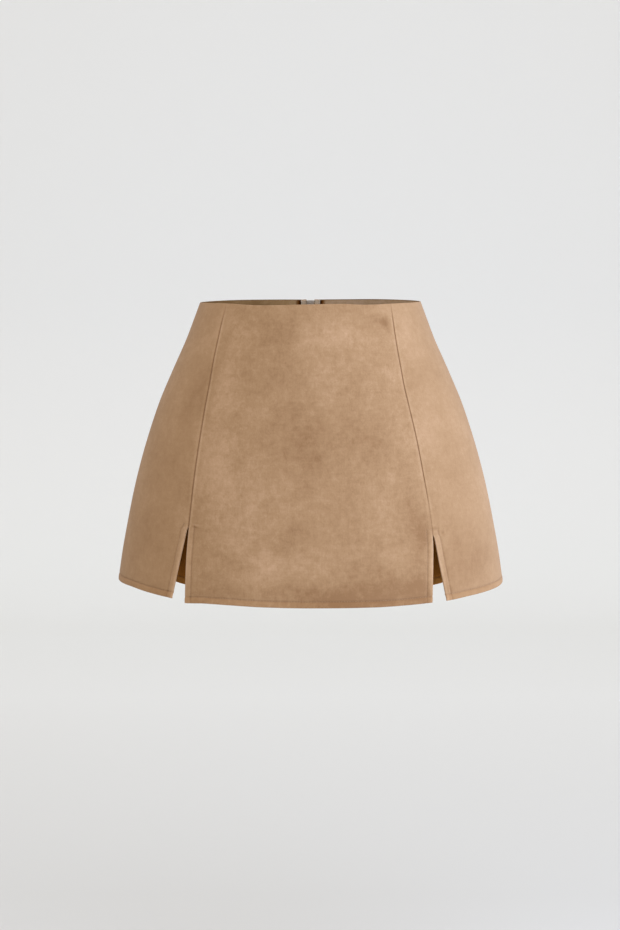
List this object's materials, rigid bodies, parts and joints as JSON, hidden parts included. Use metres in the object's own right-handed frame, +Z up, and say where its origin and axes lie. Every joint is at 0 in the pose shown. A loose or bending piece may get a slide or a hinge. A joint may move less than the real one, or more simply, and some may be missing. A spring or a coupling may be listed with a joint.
{
  "type": "skort",
  "caption": "Short A-line skort held open as worn: five-panel skirt with two front slits over built-in shorts, centre-back zip with a swinging pull tab.",
  "frame": {"origin": "centre of the waist opening, level with the middle of its front edge", "axes": "+X across the garment to the right of the front view, +Y to the back, +Z up out of the waist"},
  "size_m": [0.4531, 0.2886, 0.3353],
  "materials": {
    "suede": "soft tan nap, matt",
    "shorts_cloth": "soft brown nap, matt",
    "zip_tape": "woven tape",
    "nickel": "polished nickel"
  },
  "bodies": {
    "garment": {"front_centre_panel": "suede", "front_side_left": "suede", "front_side_right": "suede", "back_left": "suede", "back_right": "suede", "shorts_front_left": "shorts_cloth", "shorts_front_right": "shorts_cloth", "shorts_back_left": "shorts_cloth", "shorts_back_right": "shorts_cloth", "zip_tape_left": "zip_tape", "zip_tape_right": "zip_tape", "zip_teeth": "nickel", "zip_slider": "nickel"},
    "pull": {"zip_pull": "nickel"}
  },
  "joints": [
    {"name": "pull_swing", "type": "hinge", "parent": "garment", "child": "pull", "pos_m": [0, 0.09725, -0.00314], "axis": [1, 0, 0], "range_deg": [0, 160]}
  ]
}
